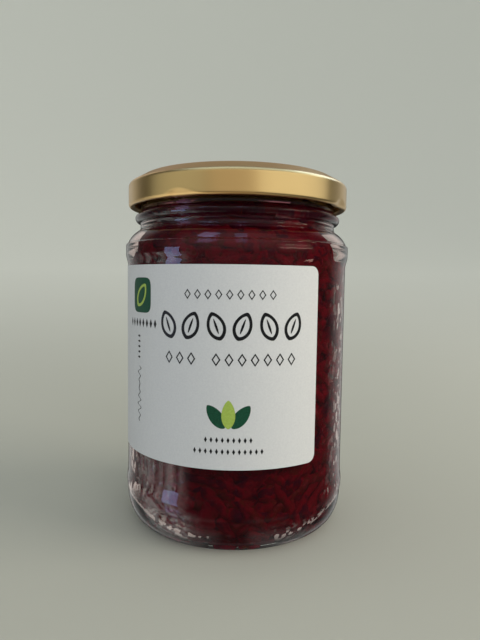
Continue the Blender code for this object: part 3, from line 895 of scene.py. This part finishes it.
def pocketPush(place):
    # the contents touch the glass but for small pockets, most at the heel and up the sides,
    # and the gap at the shoulder's sides
    azimuth = math.degrees(math.atan2(place.x, -place.y))
    heel = 1 - smoothStep(*pocket["heel"], place.z)
    tall = pocket["tall"][0] + (pocket["tall"][1] - pocket["tall"][0]) * heel
    size = pocket["size"] * (1 + (pocket["heelSize"] - 1) * heel)
    at = Vector((place.x, place.y, place.z / tall)) / size
    fineness, strength = pocket["fine"]
    patch = noise.noise(at) + strength * noise.noise(at * fineness)
    aside = smoothStep(*pocket["sidesDeg"], abs(azimuth))
    around = smoothStep(*pocket["cornersDeg"], abs(azimuth))
    corners = heel * (pocket["frontShare"] + (1 - pocket["frontShare"]) * around)
    lowLeft = smoothStep(*pocket["leftDeg"], -azimuth) * (1 - smoothStep(*pocket["leftZ"], place.z))
    limit = (pocket["rare"] + pocket["upperLess"] * smoothStep(*pocket["upperZ"], place.z)
             - pocket["sidesMore"] * aside - pocket["cornersMore"] * corners - pocket["leftMore"] * lowLeft)
    return pocket["depth"] * smoothStep(limit, limit + pocket["fade"], patch) + shoulderGap(place)


def pushOut(points, reach):
    # moves an outline along its own normal, outwards for one that runs from the floor up the wall
    moved = [(0, points[0][1] - reach)]
    for before, (r, z), after in zip(points, points[1:], points[2:] + points[-1:]):
        alongR, alongZ = after[0] - before[0], after[1] - before[1]
        length = math.hypot(alongR, alongZ)
        moved.append((r + reach * alongZ / length, z - reach * alongR / length))
    return moved


def pushIn(piece, clearOf, reach, top=math.inf):
    # moves a piece's side towards the axis by what reach gives, below a height and clear of the axis
    for vertex in piece.data.vertices:
        radius = math.hypot(vertex.co.x, vertex.co.y)
        if radius > clearOf and vertex.co.z < top:
            push = reach(vertex.co)
            vertex.co.x *= (radius - push) / radius
            vertex.co.y *= (radius - push) / radius


brine = {
    "level": 121.5 * mm,  # its surface, in the neck
    "reach": 0.15 * mm,  # how far it reaches into the glass
    "edge": (0.7 * mm, 0.3 * mm),  # bevel round the surface: width and drop
    "steps": 360,
    "row": 0.65 * mm,
}


def makeBrine():
    level = brine["level"]
    wet = [innerOutline[0]]
    for place in innerOutline[1:]:
        if place[1] < level - 1 * mm:
            length = math.hypot(place[0] - wet[-1][0], place[1] - wet[-1][1])
            wet += straight(wet[-1], place, max(1, round(length / brine["row"]))) + [place]
    outline = pushOut(wet, brine["reach"])
    edge = outline[-1][0]
    bevel, drop = brine["edge"]
    outline += [(edge, level - drop), (edge - bevel, level)]
    outline += [(edge * share, level) for share in (0.75, 0.5, 0.25, 0)]
    piece = turnOutline("brine", outline[::-1], brine["steps"])
    pushIn(piece, 12 * mm, pocketPush, level - 1 * mm)
    dress(piece, juiceMaterial())
    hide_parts("red_cabbage")


core = {
    "depth": 1.7 * mm,  # inside the wall
    "below": 1.5 * mm,  # under the brine's surface
    "uneven": 0.5 * mm,
    "unevenSize": 4 * mm,
    "tint": -0.03,
    "steps": 96,
}


def makeCore():
    depth, below = core["depth"], core["below"]
    floorZ, rise = jar["floor"]
    top = brine["level"] - below
    outline = [(0, top), (innerRadius(top) * 0.5, top), (innerRadius(top) - depth - below, top)]
    for r, z in reversed(innerOutline[jar["floorPoints"] + 1:]):
        if floorZ + 2 * depth < z < top - below:
            outline.append((r - depth, z))
    foot = floorZ + rise + 0.5 * mm
    outline += [(innerRadius(foot) - 2 * depth, foot), (0, foot)]
    piece = turnOutline("cabbage_core", outline, core["steps"])
    pushIn(piece, 10 * mm, lambda place: core["uneven"] * noise.noise(place / core["unevenSize"]))
    tint = piece.data.attributes.new("tint", "FLOAT", "POINT")
    for value in tint.data:
        value.value = core["tint"]
    dress(piece, shredMaterial())
    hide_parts("red_cabbage")


makeShreds()
print("shreds laid")
makeBrine()
makeCore()
print("brine and core made")


# Studio: a pale sweep, soft lamps and the camera

studio = {
    "flat": 0.45,  # level part of the floor
    "sweep": (3.0, 78),  # the floor then curves up gently: radius and degrees
    "aim": Vector((0, 0, 67 * mm)),  # the lamps face this point
    "air": (0.42, 0.68),  # left and right
    "frontInGloss": 0.05,  # what the front looks like in reflections, low and high
    "roomInGloss": 0.26,
    "streaksInGloss": 1.6,  # uneven pale light low at the left
    "tableInGloss": 0.3,
    "cardInGloss": 0.55,  # pale card at both rear sides, seen in the glass's edges
}


def makeSweep():
    radius, degrees = studio["sweep"]
    outline = [(0, 0), (0.2, 0), (studio["flat"], 0)]
    outline += arc(studio["flat"], radius, radius, radius, -90, degrees - 90, 20)[1:]
    sweep = turnOutline("studio_sweep", outline, 96)
    sweep.data.materials.append(studioMaterial())
    return sweep


def softLamp(name, azimuthDeg, elevationDeg, distance, size, radiance, colour,
             inGloss=True, only=None, but=(), spreadDeg=180):
    azimuth, elevation = math.radians(azimuthDeg), math.radians(elevationDeg)
    back = Vector((math.sin(azimuth) * math.cos(elevation), -math.cos(azimuth) * math.cos(elevation),
                   math.sin(elevation)))
    deselectAll()
    bpy.ops.object.light_add(type="AREA", location=studio["aim"] + back * distance)
    lamp = bpy.context.object
    lamp.name = name
    lamp.rotation_euler = back.to_track_quat("Z", "Y").to_euler()
    lamp.data.shape = "RECTANGLE"
    lamp.data.size, lamp.data.size_y = size
    lamp.data.energy = radiance * math.pi * size[0] * size[1]
    lamp.data.color = linearColour(colour)[:3]
    lamp.data.spread = math.radians(spreadDeg)
    lamp.visible_camera = False
    lamp.visible_glossy = lamp.visible_transmission = inGloss
    if only or but:
        lit = bpy.data.collections.new(name + "Lights")
        for piece in [only] if only else but:
            lit.objects.link(piece)
        lamp.light_linking.receiver_collection = lit
        for entry in lit.collection_objects:
            entry.light_linking.link_state = "INCLUDE" if only else "EXCLUDE"


def makeWorld():
    # even pale air; in the glass's reflections the front is dark, the room above dim, and pale card
    # stands at the rear and low at the left; light reflected inside the jar has a stain of brine
    world = bpy.data.worlds.new("studioAir")
    bpy.context.scene.world = world
    world.use_nodes = True
    background = world.node_tree.nodes["Background"]
    path = addNode(world, "ShaderNodeLightPath")
    place = addNode(world, "ShaderNodeTexCoord")
    axes = addNode(world, "ShaderNodeSeparateXYZ", None, {0: place.outputs["Generated"]})
    x, y, z = axes.outputs
    part = {"aside": addNode(world, "ShaderNodeMath", {"operation": "ABSOLUTE"}, {0: x}).outputs[0]}
    upright = addNode(world, "ShaderNodeMapping", {"Scale": (7, 7, 0.8)},
                      {"Vector": place.outputs["Generated"]})
    uneven = addNode(world, "ShaderNodeTexNoise", {"Scale": 1.0, "Detail": 2.0},
                     {"Vector": upright.outputs[0]})
    # each part of the surroundings fades in between two values along an axis, then parts are combined
    fades = [("beside", part["aside"], 0.3, 0.45), ("beyond", part["aside"], 0.12, 0.3),
             ("leftward", x, -0.4, -0.6), ("behind", y, 0.35, 0.75), ("past", y, -0.72, -0.3),
             ("before", y, 0.5, 0.0), ("facing", y, 0.0, -0.4), ("low", z, -0.02, -0.12),
             ("high", z, -0.05, 0.2), ("steep", z, -0.6, -0.8), ("streaks", uneven.outputs["Fac"], 0.36, 0.6)]
    for name, source, low, high in fades:
        part[name] = addNode(world, "ShaderNodeMapRange", {"From Min": low, "From Max": high},
                             {"Value": source}).outputs[0]
    for name, first, second in [("rear", "behind", "beside"), ("left", "leftward", "past"),
                                ("lowLeft", "left", "low"), ("lowLeft", "lowLeft", "before"),
                                ("streaky", "lowLeft", "streaks"), ("room", "high", "facing"),
                                ("tabletop", "steep", "beyond")]:
        part[name] = addNode(world, "ShaderNodeMath", {"operation": "MULTIPLY"},
                             {0: part[first], 1: part[second]}).outputs[0]
    gloss = addNode(world, "ShaderNodeMapRange", {"To Min": studio["frontInGloss"],
                                                  "To Max": studio["roomInGloss"]}, {"Value": part["room"]})
    for name, amount in [("rear", studio["cardInGloss"]), ("tabletop", studio["tableInGloss"]),
                         ("streaky", studio["streaksInGloss"])]:
        gloss = addNode(world, "ShaderNodeMath", {"operation": "MULTIPLY_ADD", 1: amount},
                        {0: part[name], 2: gloss.outputs[0]})
    air = addNode(world, "ShaderNodeMapRange", {"From Min": -1.0, "To Min": studio["air"][0],
                                                "To Max": studio["air"][1]}, {"Value": x})
    strength = addNode(world, "ShaderNodeMix", None,
                       {"Factor": path.outputs["Glossy Depth"], "A": air.outputs[0], "B": gloss.outputs[0]})
    stained = addNode(world, "ShaderNodeMath", {"operation": "MULTIPLY", "use_clamp": True},
                      {0: path.outputs["Glossy Depth"], 1: path.outputs["Transmission Depth"]})
    hue = addNode(world, "ShaderNodeMix", {"data_type": "RGBA", 6: linearColour("#F4F6F2"),
                                           7: linearColour("#F6DAD2")}, {0: stained.outputs[0]})
    linkTo(world, background, {"Color": hue.outputs[2], "Strength": strength.outputs[0]})


camera = {
    "place": (1.8 * mm, -214.4 * mm, 93.1 * mm),
    "pitch": 4.07,  # degrees down from level
    "roll": 0.79,
    "yaw": 0.06,
    "lens": 29.72,  # in millimetres, as the sensor
    "sensor": 36,
}


def makeCamera():
    bpy.ops.object.camera_add(location=camera["place"])
    viewer = bpy.context.object
    viewer.name = "viewer"
    turn = Euler((math.radians(90 - camera["pitch"]), 0, math.radians(camera["yaw"]))).to_matrix()
    turn = turn @ Matrix.Rotation(math.radians(camera["roll"]), 3, "Z")
    viewer.rotation_euler = turn.to_euler()
    viewer.data.lens = camera["lens"]
    viewer.data.sensor_width = camera["sensor"]
    viewer.data.clip_start, viewer.data.clip_end = 0.01, 20
    bpy.context.scene.camera = viewer


# lamps: azimuth and elevation in degrees, distance and size in metres, radiance, colour
unlit = [makeSweep(), twistLid]  # the small bright windows show in the glass alone
softLamp("windowRight", 68, 26, 1.1, (0.75, 0.1), 4.6, "#FFEFD6", but=unlit)
softLamp("sideFill", 78, 21, 1.3, (0.9, 0.5), 2.6, "#FFF4E4", inGloss=False, spreadDeg=120)
softLamp("windowLeft", -65, -7, 1.1, (0.34, 0.5), 3.4, "#A9B4EE", but=unlit)
softLamp("skyLeft", -41, 54, 1.0, (0.24, 0.46), 2.2, "#A9B4EE", but=unlit)
softLamp("skyMiddle", 6, 54, 1.0, (0.16, 0.46), 1.1, "#A9B4EE", but=unlit)
softLamp("frontFill", 15, 24, 1.4, (1.1, 1.1), 0.57, "#FFFFFF", inGloss=False, spreadDeg=120)
softLamp("lidLeft", -62, 15, 0.9, (1.05, 0.9), 0.32, "#F2FFFF", only=twistLid)
softLamp("lidFront", -3, 15, 0.9, (0.8, 0.9), 0.35, "#FFF2E4", only=twistLid)
softLamp("lidRight", 60, 15, 0.9, (1.42, 0.9), 0.82, "#FAFFFF", only=twistLid)
softLamp("lidTop", 5, 80, 0.9, (1.2, 0.9), 1.1, "#B4D5FF", only=twistLid)
softLamp("lidTopRight", 112, 45, 0.9, (0.7, 0.5), 2.8, "#B4D5FF", only=twistLid)
softLamp("lidBack", 180, 45, 0.9, (1.4, 0.6), 0.26, "#FFE8D4", only=twistLid)
softLamp("lidLow", -20, -50, 0.9, (1.3, 0.9), 0.26, "#FFE6CC", only=twistLid)
makeWorld()
makeCamera()
bpy.context.scene.view_settings.view_transform = "Standard"
print("studio made")
